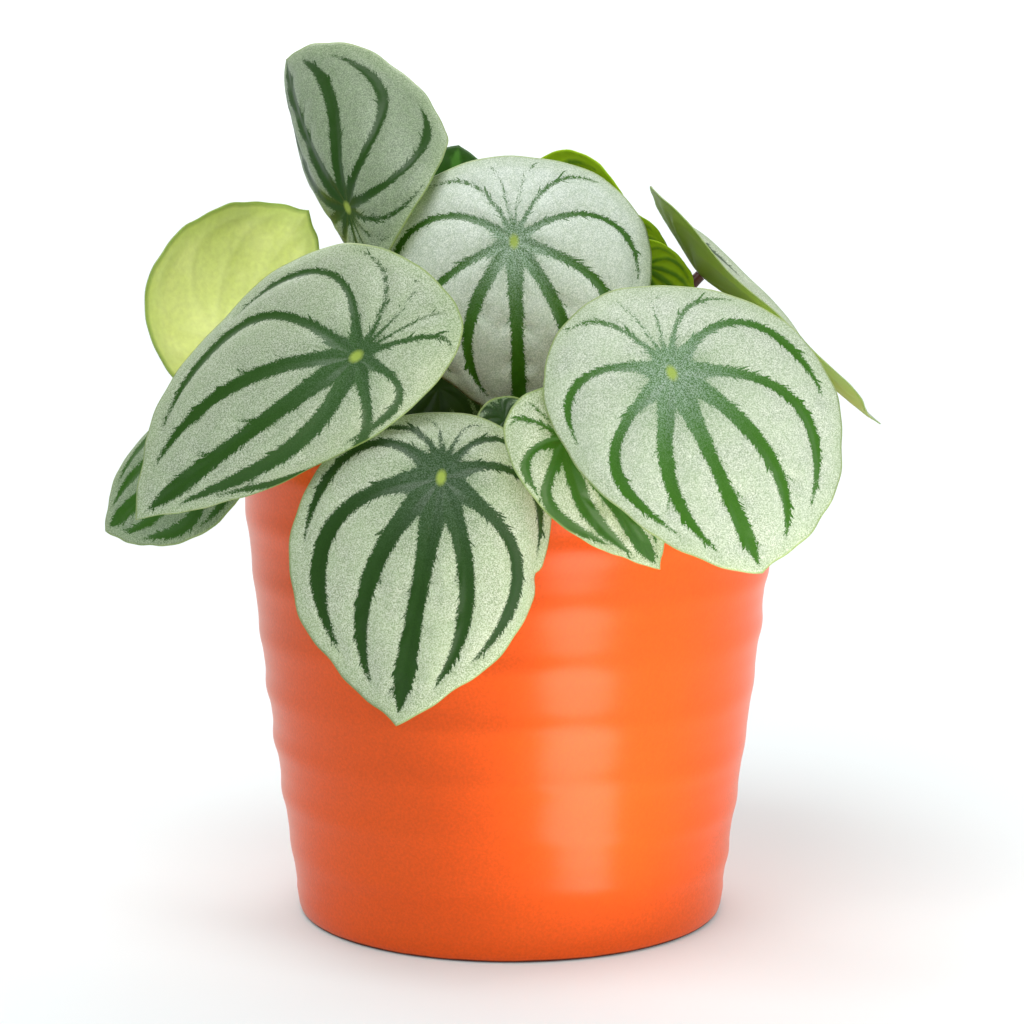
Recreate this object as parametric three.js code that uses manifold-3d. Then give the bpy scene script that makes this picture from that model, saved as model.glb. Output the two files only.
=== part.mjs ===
// A potted watermelon peperomia: a turned ceramic pot, its potting mix, three crowns with their petioles,
// and a blade for each leaf. Millimetres, +Z up, the origin at the middle of the pot's foot, -Y to the front.
import * as THREE from 'three';
import { mergeVertices } from 'three/addons/utils/BufferGeometryUtils.js';
import Module from 'manifold-3d';

const wasm = await Module();
wasm.setup();

// Driving dimensions of the pot
const POT_HEIGHT = 130;
const RIM_RADIUS = 71;
const FOOT_RADIUS = 56.5;
const FOOT_ROUNDING = 8;
const WALL = 4.5;
const FLOOR = 7;
const BELLY = 1.1;
const BAND_PITCH = 15;
const BAND_DEPTH = 0.25;
const BAND_PHASE = 0.52;
const BAND_WANDER = 0.45;
const POT_SIDES = 40;
const DRAIN_HOLES = 3;
const DRAIN_RADIUS = 4;
const DRAIN_CIRCLE = 24;

// Driving dimensions of what stands in it
const GAP = 0.3;
const SOIL_LEVEL = 116;
const SOIL_SIDES = 36;
const CROWN_RADIUS = 6.5;
const CROWN_DEPTH = 14;
const CROWN_RISE = 5;
const CROWN_SIDES = 10;
const BLADE_THICKNESS = 0.7;
const NAVEL_DIP = 1.5;
const NAVEL_DIP_SPREAD = 60;
const LARGE_LEAF = 50;
const PETIOLE_SIDES = 7;
const PETIOLE_STEPS = 9;
const LARGE_PETIOLE = { rootRadius: 2.1, navelRadius: 1.5 };
const SMALL_PETIOLE = { rootRadius: 1.5, navelRadius: 1 };

// Crowns: where each one stands in the mix
const CROWNS = {
  crown_left: [-26, -8],
  crown_right: [21, -10],
  crown_back: [0, 26],
};

// Leaves. at: the navel, where the petiole meets the blade. face: the compass direction of the upper side,
// with -90 to the front, and rise its angle above level. spin turns the tip from straight down the slope.
// bend: degrees that the left side, right side, tip and base curve away from the upper side.
// navel, point and egg: shares of the length behind the navel, in the drip tip, and of widening at the base.
// uneven: the share by which the right side is wider and the left one narrower. lean: how far the right side
// slips towards the tip, and the left one back, for every mm that it reaches out.
// reach: how far the petiole stands off the blade's underside. arch lifts its bend over the pot's rim.
const LEAVES = [
  { name: 'leaf_top_middle', at: [1, -22, 181], long: 72, wide: 74, face: -91, rise: 18, spin: 2,
    bend: [35, 35, 50, 22], navel: 0.33, point: 0.05, egg: 0.14, crown: 'crown_back', reach: 26 },
  { name: 'leaf_front_right', at: [39, -93, 159.2], long: 78, wide: 68, face: -91, rise: 20, spin: 25,
    bend: [28, 26, 24, 18], navel: 0.31, point: 0.05, egg: 0.12, crown: 'crown_right', reach: 26,
    uneven: -0.06, lean: -0.25 },
  { name: 'leaf_front_middle', at: [-17, -81.5, 131.2], long: 79, wide: 68, face: -98, rise: 14, spin: -9,
    bend: [60, 20, 10, 34], navel: 0.22, point: 0.085, egg: 0.1, crown: 'crown_left', reach: 20,
    arch: 10.5, uneven: 0.04, lean: 0.1 },
  { name: 'leaf_front_left', at: [-37.8, -80, 161], long: 98, wide: 56, face: -105, rise: 14.5, spin: -53,
    bend: [84, 38, 16, 14], navel: 0.285, point: 0.085, egg: 0.22, crown: 'crown_left', reach: 24,
    uneven: 0.31, lean: 0.16 },
  { name: 'leaf_upright', at: [-43, -5, 187], long: 77, wide: 52, face: -145, rise: 0, spin: 231,
    bend: [84, 62, 20, 10], navel: 0.27, point: 0.085, egg: 0.14, crown: 'crown_left', reach: 22,
    uneven: 0.43 },
  { name: 'leaf_lime_left', at: [-77, 10, 150.3], long: 62, wide: 46, face: 112, rise: -25, spin: 222,
    bend: [35, 35, 20, 20], navel: 0.29, point: 0.085, egg: 0.02, crown: 'crown_left', reach: 16,
    uneven: 0.2 },
  { name: 'leaf_low_left', at: [-78, -42, 131], long: 50, wide: 38, face: -125, rise: 25, spin: -48,
    bend: [25, 25, 15, 10], navel: 0.29, point: 0.05, egg: 0.14, crown: 'crown_left', reach: 20,
    arch: 24 },
  { name: 'leaf_front_narrow', at: [14.4, -84.5, 141], long: 58, wide: 31, face: -62, rise: 2, spin: 36,
    bend: [20, 30, 0, 20], navel: 0.27, point: 0.085, egg: 0.14, crown: 'crown_right', reach: 18,
    arch: 2, lean: -0.3 },
  { name: 'leaf_right_edge', at: [51, 5, 169.6], long: 88, wide: 76, face: 8, rise: 44.5, spin: 0,
    bend: [-21, -12, -8, -20], navel: 0.29, point: 0.085, egg: 0.14, crown: 'crown_right', reach: 18 },
  { name: 'leaf_lime_top', at: [10, 16, 184], long: 38, wide: 40, face: 75, rise: 10, spin: -60,
    bend: [20, 20, 15, 15], navel: 0.29, point: 0.085, egg: 0.14, crown: 'crown_back', reach: 12 },
  { name: 'leaf_young_upper', at: [26.5, 7, 175.5], long: 28, wide: 24, face: 85, rise: 12, spin: -50,
    bend: [15, 15, 10, 10], navel: 0.29, point: 0.085, egg: 0.14, crown: 'crown_right', reach: 10 },
  { name: 'leaf_young_lower', at: [34.5, -3, 172.5], long: 24, wide: 18, face: 85, rise: 20, spin: -50,
    bend: [25, 25, 10, 10], navel: 0.29, point: 0.085, egg: 0.14, crown: 'crown_right', reach: 9 },
  { name: 'leaf_dark_top', at: [-18, 22, 175], long: 46, wide: 42, face: -80, rise: 35, spin: 165,
    bend: [25, 25, 20, 15], navel: 0.29, point: 0.085, egg: 0.14, crown: 'crown_back', reach: 14 },
  { name: 'leaf_young_front', at: [50, -73, 133], long: 36, wide: 26, face: -80, rise: 10, spin: 14,
    bend: [20, 20, 10, 30], navel: 0.29, point: 0.085, egg: 0.14, crown: 'crown_right', reach: 12,
    arch: 4 },
  { name: 'leaf_sprout', at: [-1, -35, 137.5], long: 22, wide: 17, face: -80, rise: 30, spin: 20,
    bend: [20, 20, 10, 10], navel: 0.29, point: 0.085, egg: 0.14, crown: 'crown_back', reach: 8 },
  { name: 'leaf_inner_middle', at: [-19, 12, 137.5], long: 36, wide: 34, face: -92, rise: 22, spin: -62,
    bend: [20, 20, 25, 15], navel: 0.29, point: 0.08, egg: 0.14, crown: 'crown_back', reach: 8 },
  { name: 'leaf_inner_left', at: [-43, -26, 159], long: 44, wide: 40, face: -170, rise: 62, spin: 0,
    bend: [20, 20, 25, 15], navel: 0.29, point: 0.08, egg: 0.14, crown: 'crown_left', reach: 12 },
  { name: 'leaf_inner_right', at: [43, -28, 157], long: 46, wide: 40, face: -30, rise: 62, spin: 0,
    bend: [20, 20, 25, 15], navel: 0.29, point: 0.08, egg: 0.14, crown: 'crown_right', reach: 12 },
  { name: 'leaf_back_right', at: [50, 20, 148], long: 58, wide: 56, face: 22, rise: 58, spin: 0,
    bend: [15, 15, 35, 20], navel: 0.29, point: 0.08, egg: 0.14, crown: 'crown_right', reach: 14 },
  { name: 'leaf_back_middle_right', at: [34, 46, 161], long: 68, wide: 60, face: 54, rise: 66, spin: 0,
    bend: [15, 15, 45, 20], navel: 0.29, point: 0.08, egg: 0.14, crown: 'crown_back', reach: 16 },
  { name: 'leaf_back_middle', at: [-2, 54, 152], long: 70, wide: 62, face: 92, rise: 68, spin: 0,
    bend: [15, 15, 45, 20], navel: 0.3, point: 0.08, egg: 0.14, crown: 'crown_back', reach: 14 },
  { name: 'leaf_back_left', at: [-34, 46, 160], long: 66, wide: 60, face: 126, rise: 66, spin: 0,
    bend: [15, 15, 45, 20], navel: 0.29, point: 0.08, egg: 0.14, crown: 'crown_back', reach: 14 },
  { name: 'leaf_side_left', at: [-60, 27, 141], long: 48, wide: 44, face: 160, rise: 60, spin: 0,
    bend: [15, 15, 30, 15], navel: 0.29, point: 0.08, egg: 0.14, crown: 'crown_left', reach: 12 },
  { name: 'leaf_side_right', at: [64, -22, 142], long: 44, wide: 40, face: -15, rise: 45, spin: 0,
    bend: [20, 20, 25, 15], navel: 0.29, point: 0.08, egg: 0.14, crown: 'crown_right', reach: 12 },
  { name: 'leaf_low_back_right', at: [56, 60, 132], long: 56, wide: 50, face: 45, rise: 20, spin: 0,
    bend: [25, 25, 20, 70], navel: 0.18, point: 0.08, egg: 0.14, crown: 'crown_back', reach: 14,
    arch: 9 },
  { name: 'leaf_low_back_left', at: [-50, 66, 132], long: 54, wide: 48, face: 128, rise: 20, spin: 0,
    bend: [25, 25, 20, 70], navel: 0.18, point: 0.08, egg: 0.14, crown: 'crown_back', reach: 14,
    arch: 9 },
];

// Materials
const finish = (color, roughness) => new THREE.MeshStandardMaterial({ color, roughness, metalness: 0 });
const orangeGlaze = finish('#e0703f', 0.45);
const pottingMix = finish('#2f241c', 0.95);
const redPetiole = finish('#4a2019', 0.5);
const silverBlade = finish('#9fb894', 0.55);
const limeBlade = finish('#9dbb55', 0.55);

// Geometry from points and faces
const surface = (points, faces) => {
  const geometry = new THREE.BufferGeometry();
  geometry.setAttribute('position', new THREE.Float32BufferAttribute(points.flat(), 3));
  geometry.setIndex(faces.flat());
  geometry.computeVertexNormals();
  return geometry;
};

// A closed geometry as a solid that can be cut and joined, and back
const solidOf = (geometry) => {
  const plain = geometry.clone();
  plain.deleteAttribute('normal');
  plain.deleteAttribute('uv');
  const merged = mergeVertices(plain, 1e-4);
  const vertProperties = new Float32Array(merged.attributes.position.array);
  const triVerts = new Uint32Array(merged.index.array);
  return new wasm.Manifold(new wasm.Mesh({ numProp: 3, vertProperties, triVerts }));
};
const geometryOf = (solid) => {
  const mesh = solid.getMesh();
  const geometry = new THREE.BufferGeometry();
  geometry.setAttribute('position', new THREE.BufferAttribute(mesh.vertProperties, 3));
  geometry.setIndex(new THREE.BufferAttribute(mesh.triVerts, 1));
  geometry.computeVertexNormals();
  return geometry;
};

// A turned solid: stations of [radius, height] from the lower end of the axis to the upper one
const turned = (stations, sides, radiusAt = (radius) => radius) => {
  const points = [[0, 0, stations[0][1]]];
  const rings = stations.filter(([radius]) => radius > 0);
  for (const [radius, height, relief] of rings) {
    for (let side = 0; side < sides; side++) {
      const angle = (2 * Math.PI * side) / sides;
      const r = radiusAt(radius, height, angle, relief);
      points.push([r * Math.cos(angle), r * Math.sin(angle), height]);
    }
  }
  points.push([0, 0, stations.at(-1)[1]]);
  const last = points.length - 1;
  const at = (ring, side) => 1 + ring * sides + (side % sides);
  const faces = [];
  for (let side = 0; side < sides; side++) {
    faces.push([0, at(0, side + 1), at(0, side)]);
    faces.push([last, at(rings.length - 1, side), at(rings.length - 1, side + 1)]);
    for (let ring = 0; ring < rings.length - 1; ring++) {
      faces.push([at(ring, side), at(ring, side + 1), at(ring + 1, side + 1)]);
      faces.push([at(ring, side), at(ring + 1, side + 1), at(ring + 1, side)]);
    }
  }
  return surface(points, faces);
};

// The pot: a slightly bellied taper with soft throwing bands, a rounded lip and three drain holes
const wallRadius = (height) => {
  const u = (height - FOOT_ROUNDING) / (POT_HEIGHT - FOOT_ROUNDING);
  return FOOT_RADIUS + (RIM_RADIUS - FOOT_RADIUS) * u + BELLY * Math.sin(Math.PI * Math.max(u, 0));
};
const bandedRadius = (radius, height, angle, relief = 0) => {
  // relief is the share of the band's depth at that station
  const wander = BAND_WANDER * (Math.sin(2 * angle + 1.9) + Math.sin(height / 17 + angle));
  const phase = (2 * Math.PI * height) / BAND_PITCH + BAND_PHASE + wander;
  return radius + relief * BAND_DEPTH * Math.sin(phase);
};
const makePot = () => {
  const foot = [[0, 0], [52, 0], [54.4, 0.8], [55.9, 3.2], [FOOT_RADIUS, FOOT_ROUNDING]];
  const outside = [];
  const steps = 32;
  for (let i = 1; i < steps; i++) {
    const height = FOOT_ROUNDING + ((POT_HEIGHT - 3 - FOOT_ROUNDING) * i) / steps;
    outside.push([wallRadius(height), height, i < steps - 1 ? 1 : 0.4]);
  }
  const lipMiddle = RIM_RADIUS - WALL / 2;
  const lip = [];
  for (let i = 0; i <= 4; i++) {
    const angle = (Math.PI * i) / 4;
    const height = POT_HEIGHT - WALL / 2 + (WALL / 2) * Math.sin(angle);
    lip.push([lipMiddle + (WALL / 2) * Math.cos(angle), height]);
  }
  const inside = [104, 80, 56, 34, 20].map((height) => [wallRadius(height) - WALL, height]);
  const bottom = [[50.5, 11], [47, FLOOR + 0.8], [43, FLOOR], [0, FLOOR]];
  let pot = solidOf(turned([...foot, ...outside, ...lip, ...inside, ...bottom], POT_SIDES, bandedRadius));
  for (let i = 0; i < DRAIN_HOLES; i++) {
    const angle = (2 * Math.PI * i) / DRAIN_HOLES + Math.PI / 2;
    const drill = new THREE.CylinderGeometry(DRAIN_RADIUS, DRAIN_RADIUS, 3 * FLOOR, 16);
    drill.rotateX(Math.PI / 2);
    drill.translate(DRAIN_CIRCLE * Math.cos(angle), DRAIN_CIRCLE * Math.sin(angle), FLOOR / 2);
    pot = pot.subtract(solidOf(drill));
  }
  return geometryOf(pot);
};

// The potting mix: fills the pot to below the rim, lumpy on top, with a plain hole for each crown
const MIX_CLEARANCE = 0.9;
const soilHeight = (x, y) => {
  const lumps = 1.1 * Math.sin(x / 7 + 1) * Math.cos(y / 8) + 0.7 * Math.sin((x + y) / 4.3);
  return SOIL_LEVEL + lumps;
};
const makeMix = () => {
  const sideAt = (height) => [wallRadius(height) - WALL - MIX_CLEARANCE, height];
  const stations = [[0, FLOOR + GAP], [42, FLOOR + GAP], [46, FLOOR + 2], [49, 12.5]];
  stations.push(...[22, 50, 82, SOIL_LEVEL - 3].map(sideAt));
  for (const share of [0.98, 0.8, 0.6, 0.4, 0.2]) {
    stations.push([share * sideAt(SOIL_LEVEL)[0], SOIL_LEVEL]);
  }
  stations.push([0, SOIL_LEVEL]);
  const geometry = turned(stations, SOIL_SIDES);
  const position = geometry.attributes.position;
  for (let i = 0; i < position.count; i++) {
    if (position.getZ(i) > SOIL_LEVEL - 1) {
      position.setZ(i, soilHeight(position.getX(i), position.getY(i)));
    }
  }
  let mix = solidOf(geometry);
  for (const [x, y] of Object.values(CROWNS)) {
    const radius = CROWN_RADIUS + 2 * GAP;
    const hole = new THREE.CylinderGeometry(radius, radius, 2 * (CROWN_DEPTH + GAP), 16);
    hole.rotateX(Math.PI / 2);
    hole.translate(x, y, SOIL_LEVEL);
    mix = mix.subtract(solidOf(hole));
  }
  return geometryOf(mix);
};

// A blade's own axes: side to the right of the midrib, towards the tip, and the upper side's normal
const bladeAxes = ({ face, rise, spin }) => {
  const [a, e, w] = [face, rise, spin].map(THREE.MathUtils.degToRad);
  const up = new THREE.Vector3(Math.cos(a) * Math.cos(e), Math.sin(a) * Math.cos(e), Math.sin(e));
  const down = new THREE.Vector3(Math.cos(a) * Math.sin(e), Math.sin(a) * Math.sin(e), -Math.cos(e));
  const across = new THREE.Vector3().crossVectors(up, down);
  const tip = down.clone().multiplyScalar(Math.cos(w)).addScaledVector(across, Math.sin(w));
  const side = new THREE.Vector3().crossVectors(tip, up);
  return { side, tip, up };
};

// The margin of a flat blade at angle t, from -pi to pi with 0 at the tip, with the navel at the origin
const margin = (leaf, t) => {
  const body = (leaf.long * (1 - leaf.point)) / 2;
  const uneven = 1 + Math.sign(Math.sin(t)) * (leaf.uneven ?? 0);
  const x = (leaf.wide / 2) * Math.sin(t) * (1 - leaf.egg * Math.cos(t)) * uneven;
  const drip = leaf.point * leaf.long * Math.exp(-Math.abs(t) / 0.3);
  const lean = (leaf.lean ?? 0) * x;
  return [x, body * Math.cos(t) + drip + body - leaf.navel * leaf.long + lean];
};

// A point of the flat blade, curved and set in its place
const bladePoint = (leaf, axes, x, y) => {
  const [left, right, tip, base] = leaf.bend.map(THREE.MathUtils.degToRad);
  const across = (x < 0 ? left : right) / (leaf.wide / 2);
  const along = y > 0 ? tip / (leaf.long * (1 - leaf.navel)) : base / (leaf.long * leaf.navel);
  const k = Math.abs(along) < 1e-6 ? 1e-6 : along;
  const curvedX = Math.sin(across * x) / across;
  const radius = 1 / k + (Math.cos(across * x) - 1) / across;
  const curvedY = radius * Math.sin(k * y);
  const dip = NAVEL_DIP * Math.exp(-(x * x + y * y) / NAVEL_DIP_SPREAD);
  const height = radius * Math.cos(k * y) - 1 / k - dip;
  return new THREE.Vector3(...leaf.at)
    .addScaledVector(axes.side, curvedX)
    .addScaledVector(axes.tip, curvedY)
    .addScaledVector(axes.up, height);
};

// A blade: rings from the navel out to the margin, the same triangles on both faces, closed at the edge
const makeBlade = (leaf) => {
  const large = leaf.long > LARGE_LEAF;
  const sectors = large ? 20 : 14;
  const ringShares = large ? [0.3, 0.58, 0.82, 1] : [0.36, 0.72, 1];
  const axes = bladeAxes(leaf);
  const flat = [[0, 0]];
  for (const share of ringShares) {
    for (let i = 0; i < sectors; i++) {
      const turn = (2 * Math.PI * i) / sectors - Math.PI;
      const [x, y] = margin(leaf, turn - 0.35 * Math.sin(turn));
      flat.push([share * x, share * y]);
    }
  }
  const upper = [];
  const lower = [];
  const step = 0.5;
  for (const [x, y] of flat) {
    const here = bladePoint(leaf, axes, x, y);
    const alongX = bladePoint(leaf, axes, x + step, y).sub(bladePoint(leaf, axes, x - step, y));
    const alongY = bladePoint(leaf, axes, x, y + step).sub(bladePoint(leaf, axes, x, y - step));
    const normal = alongX.cross(alongY).normalize();
    upper.push(here.clone().addScaledVector(normal, BLADE_THICKNESS / 2).toArray());
    lower.push(here.clone().addScaledVector(normal, -BLADE_THICKNESS / 2).toArray());
  }
  const count = flat.length;
  const at = (ring, i) => 1 + ring * sectors + (i % sectors);
  const upperFaces = [];
  for (let i = 0; i < sectors; i++) {
    upperFaces.push([0, at(0, i + 1), at(0, i)]);
    for (let ring = 0; ring < ringShares.length - 1; ring++) {
      upperFaces.push([at(ring, i), at(ring, i + 1), at(ring + 1, i + 1)]);
      upperFaces.push([at(ring, i), at(ring + 1, i + 1), at(ring + 1, i)]);
    }
  }
  const lowerFaces = upperFaces.map(([a, b, c]) => [count + a, count + c, count + b]);
  const edgeFaces = [];
  const rim = ringShares.length - 1;
  for (let i = 0; i < sectors; i++) {
    edgeFaces.push([at(rim, i), at(rim, i + 1), count + at(rim, i + 1)]);
    edgeFaces.push([at(rim, i), count + at(rim, i + 1), count + at(rim, i)]);
  }
  return surface([...upper, ...lower], [...upperFaces, ...lowerFaces, ...edgeFaces]);
};

// A petiole: a tapered stalk from its crown that comes to the navel from the blade's underside
const petioleCurve = (leaf) => {
  const { up } = bladeAxes(leaf);
  const [crownX, crownY] = CROWNS[leaf.crown];
  const arch = leaf.arch ?? 0;
  const { navelRadius } = leaf.long > LARGE_LEAF ? LARGE_PETIOLE : SMALL_PETIOLE;
  const tilted = 1.2 * navelRadius * Math.sin(Math.atan2(arch, leaf.reach));
  const meet = new THREE.Vector3(...leaf.at);
  meet.addScaledVector(up, -NAVEL_DIP - BLADE_THICKNESS / 2 - GAP - tilted);
  const outward = new THREE.Vector2(meet.x - crownX, meet.y - crownY);
  const spread = Math.min(2.5, outward.length() / 4);
  outward.normalize();
  const root = new THREE.Vector3(crownX + spread * outward.x, crownY + spread * outward.y, SOIL_LEVEL - 1);
  const before = meet.clone().addScaledVector(up, -leaf.reach);
  before.z += arch;
  const lift = 0.45 * Math.max(before.z - root.z, 26);
  const after = root.clone();
  after.x += 0.25 * lift * outward.x;
  after.y += 0.25 * lift * outward.y;
  after.z += lift;
  return new THREE.CubicBezierCurve3(root, after, before, meet);
};
const makePetiole = (leaf) => {
  const curve = petioleCurve(leaf);
  const { rootRadius, navelRadius } = leaf.long > LARGE_LEAF ? LARGE_PETIOLE : SMALL_PETIOLE;
  const { normals, binormals } = curve.computeFrenetFrames(PETIOLE_STEPS);
  const points = [];
  for (let i = 0; i <= PETIOLE_STEPS; i++) {
    const middle = curve.getPointAt(i / PETIOLE_STEPS);
    const radius = THREE.MathUtils.lerp(rootRadius, navelRadius, i / PETIOLE_STEPS);
    for (let j = 0; j < PETIOLE_SIDES; j++) {
      const angle = (2 * Math.PI * j) / PETIOLE_SIDES;
      const point = middle.clone();
      point.addScaledVector(normals[i], radius * Math.cos(angle));
      point.addScaledVector(binormals[i], radius * Math.sin(angle));
      points.push(point.toArray());
    }
  }
  const at = (ring, side) => ring * PETIOLE_SIDES + (side % PETIOLE_SIDES);
  const faces = [];
  for (let i = 0; i < PETIOLE_STEPS; i++) {
    for (let j = 0; j < PETIOLE_SIDES; j++) {
      faces.push([at(i, j), at(i, j + 1), at(i + 1, j + 1)]);
      faces.push([at(i, j), at(i + 1, j + 1), at(i + 1, j)]);
    }
  }
  for (let j = 1; j < PETIOLE_SIDES - 1; j++) {
    faces.push([at(0, 0), at(0, j + 1), at(0, j)]);
    faces.push([at(PETIOLE_STEPS, 0), at(PETIOLE_STEPS, j), at(PETIOLE_STEPS, j + 1)]);
  }
  return surface(points, faces);
};

// A crown: a short thick stem in its hole, with the petioles that grow from it
const makeCrown = (name) => {
  const [x, y] = CROWNS[name];
  const low = SOIL_LEVEL - CROWN_DEPTH;
  const high = SOIL_LEVEL + CROWN_RISE;
  const stations = [[0, low], [5, low], [CROWN_RADIUS, low + 4], [CROWN_RADIUS, SOIL_LEVEL], [5, high - 2]];
  stations.push([2.5, high], [0, high + 0.5]);
  const stub = turned(stations, CROWN_SIDES);
  stub.translate(x, y, 0);
  let crown = solidOf(stub);
  for (const leaf of LEAVES) {
    if (leaf.crown === name) {
      crown = crown.add(solidOf(makePetiole(leaf)));
    }
  }
  return geometryOf(crown);
};

// The plant in its pot
const plant = new THREE.Group();
const place = (name, geometry, material) => {
  const mesh = new THREE.Mesh(geometry, material);
  mesh.name = name;
  plant.add(mesh);
};
place('pot', makePot(), orangeGlaze);
place('potting_mix', makeMix(), pottingMix);
for (const name of Object.keys(CROWNS)) {
  place(name, makeCrown(name), redPetiole);
}
for (const leaf of LEAVES) {
  const lime = leaf.name.includes('lime') || leaf.name.includes('young') || leaf.name.includes('dark');
  place(leaf.name, makeBlade(leaf), lime ? limeBlade : silverBlade);
}

export default plant;
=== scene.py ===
# A watermelon peperomia in an orange glazed pot. Metres, +Z up, -Y to the front, the foot at the origin.
import math
import random

import bpy
import numpy as np
from mathutils import Euler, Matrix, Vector, noise


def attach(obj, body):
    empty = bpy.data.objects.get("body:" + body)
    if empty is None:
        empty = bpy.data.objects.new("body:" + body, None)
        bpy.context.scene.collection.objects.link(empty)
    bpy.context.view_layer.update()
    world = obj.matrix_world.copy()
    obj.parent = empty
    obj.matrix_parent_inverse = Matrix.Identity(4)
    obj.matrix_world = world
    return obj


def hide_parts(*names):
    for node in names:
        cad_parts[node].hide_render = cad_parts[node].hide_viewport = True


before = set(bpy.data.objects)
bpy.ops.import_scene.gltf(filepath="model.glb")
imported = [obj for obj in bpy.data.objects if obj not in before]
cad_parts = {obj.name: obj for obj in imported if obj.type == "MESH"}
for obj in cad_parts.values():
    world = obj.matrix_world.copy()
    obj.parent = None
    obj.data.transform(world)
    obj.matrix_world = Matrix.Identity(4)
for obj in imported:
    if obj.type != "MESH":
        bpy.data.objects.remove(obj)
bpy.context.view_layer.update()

MM = 0.001


# Camera
# A long lens a little above the rim, as for a catalogue: 1.3 m off and level enough to hide the mix.
LENS = 171.4
CAMERA_DISTANCE = 1.3
CAMERA_ASIDE = 0.0005
CAMERA_HEIGHT_ANGLE = math.radians(15.9)
CAMERA_PITCH = math.radians(11.303)
camera_reach = CAMERA_DISTANCE * math.cos(CAMERA_HEIGHT_ANGLE)
camera_height = CAMERA_DISTANCE * math.sin(CAMERA_HEIGHT_ANGLE)
bpy.ops.object.camera_add(location=(CAMERA_ASIDE, -camera_reach, camera_height),
                          rotation=(math.radians(90) - CAMERA_PITCH, 0, 0))
camera = bpy.context.object
camera.data.lens = LENS
camera.data.sensor_width = 36
camera.data.clip_end = 50
bpy.context.scene.camera = camera


# Studio
# White seamless paper under the pot, a soft box to the front right, a wide one overhead, white walls, and a
# bounce card on the table to the right that draws a soft upright highlight on the pot.
def deselect():
    bpy.ops.object.select_all(action="DESELECT")


def paint(code):
    """An sRGB hex colour as the linear colour that a shader takes."""
    parts = [int(code[i:i + 2], 16) / 255 for i in (1, 3, 5)]
    linear = [p / 12.92 if p <= 0.04045 else ((p + 0.055) / 1.055) ** 2.4 for p in parts]
    return (*linear, 1)


def feed(tree, node, inputs):
    """Gives each socket, by name or number, a value, a hex colour, an output, or a node's first output."""
    for key, value in inputs.items():
        if isinstance(value, bpy.types.Node):
            value = next(output for output in value.outputs if output.enabled)
        if isinstance(value, bpy.types.NodeSocket):
            tree.links.new(value, node.inputs[key])
        else:
            node.inputs[key].default_value = paint(value) if isinstance(value, str) else value


def add_node(tree, kind, inputs, **settings):
    """Adds a shader node with its settings and what feeds it."""
    node = tree.nodes.new("ShaderNode" + kind)
    for key, value in settings.items():
        setattr(node, key, value)
    feed(tree, node, inputs)
    return node


def new_material(name, **sockets):
    """A material with one Principled shader, whose own sockets take the values given."""
    material = bpy.data.materials.new(name)
    material.use_nodes = True
    tree = material.node_tree
    shader = tree.nodes["Principled BSDF"]
    feed(tree, shader, {key.replace("_", " "): value for key, value in sockets.items()})
    return material, tree, shader


# Seamless paper: matte, a cool white against the orange light from the pot, and a little lit through.
deselect()
bpy.ops.mesh.primitive_plane_add(size=14, location=(0, 3, 0))
floor = bpy.context.object
floor.name = "paper_floor"
paper, tree, shader = new_material("seamless_paper", Base_Color="#D3DADB", Roughness=0.9,
                                   Specular_IOR_Level=0.1, Emission_Color="#FFFFFF", Emission_Strength=0.13)
floor.data.materials.append(paper)

SOFT_BOXES = [
    # name, place, aims at, width, height, watts
    ("front_right_box", (1.0, -0.6, 0.3), (0, 0, 0.08), 0.6, 0.6, 4.3),
    ("overhead_box", (-0.28, -0.65, 1.35), (0, 0, 0.15), 1.0, 1.0, 17.5),
    ("back_right_box", (1.1, 0.9, 0.6), (0, 0, 0.1), 0.8, 1.2, 5.5),
    ("back_left_box", (-1.1, 0.9, 0.6), (0, 0, 0.1), 0.8, 1.2, 1.6),
    ("backdrop_box", (0, 3.6, 2.6), (0, 3.6, 0), 5.0, 3.0, 215.0),
]
for name, place, target, width, height, watts in SOFT_BOXES:
    aim = (Vector(target) - Vector(place)).to_track_quat("-Z", "Y").to_euler()
    bpy.ops.object.light_add(type="AREA", location=place, rotation=aim)
    box = bpy.context.object
    box.name = name
    box.data.shape = "RECTANGLE"
    box.data.size = width
    box.data.size_y = height
    box.data.energy = watts
    box.visible_camera = False

CARD_PLACE = (0.112, -0.223, 0.004)
CARD_TURN = math.radians(26)
bpy.ops.object.light_add(type="AREA", location=CARD_PLACE, rotation=(math.pi, 0, CARD_TURN))
card = bpy.context.object
card.name = "bounce_card"
card.data.shape = "ELLIPSE"
card.data.size = 0.1
card.data.size_y = 0.33
card.data.energy = 0.54
card.data.color = (1, 0.93, 0.8)
card.visible_camera = False

room = bpy.data.worlds.new("white_room")
room.use_nodes = True
room.node_tree.nodes["Background"].inputs["Color"].default_value = (1, 1, 1, 1)
room.node_tree.nodes["Background"].inputs["Strength"].default_value = 0.27
bpy.context.scene.world = room
bpy.context.scene.view_settings.view_transform = "Standard"


# Pot
# Thrown stoneware, 142 mm across the rim and 130 mm high, with the soft rings that fingers leave on the wall.
# It is dipped in an orange satin glaze and stands on a wiped, unglazed foot with three drain holes.
POT_HEIGHT = 130
RIM_RADIUS = 71
FOOT_RADIUS = 56.5
FOOT_ROUNDING = 8
WALL = 4.5
POT_FLOOR = 7
BELLY = 1.1
RING_PITCH = 15
RING_DEPTH = 0.23
RING_PHASE = 0.52
RING_WANDER = 0.45
RINGS_FROM = 7
RINGS_TO = 127
POT_SIDES = 240
DRAIN_HOLES = 3
DRAIN_RADIUS = 4
DRAIN_CIRCLE = 24


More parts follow.
